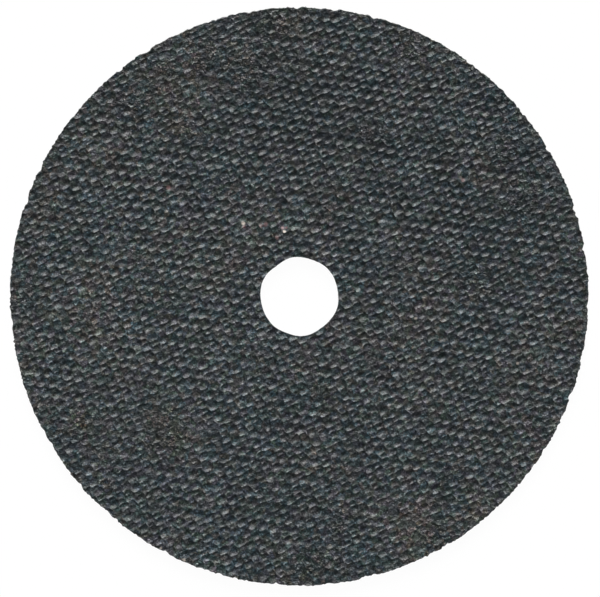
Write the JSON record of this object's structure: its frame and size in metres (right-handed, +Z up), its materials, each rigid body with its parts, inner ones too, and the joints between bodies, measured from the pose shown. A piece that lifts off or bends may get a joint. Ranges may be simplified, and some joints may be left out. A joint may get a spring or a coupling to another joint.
{
  "type": "cut-off wheel",
  "caption": "Thin round abrasive cut-off wheel with a plain central arbor hole and a woven press-cloth imprint on both faces.",
  "frame": {"origin": "centre of the arbor hole on the lower face, which the wheel lies on", "axes": "+Z up along the axis of the arbor hole, +X to the right and +Y to the top as the front face is looked at"},
  "size_m": [0.076, 0.076, 0.0012],
  "materials": {
    "bonded_grain": "rough dark resin-bonded abrasive grain with a woven imprint"
  },
  "bodies": {
    "root": {"wheel": "bonded_grain"}
  },
  "joints": []
}
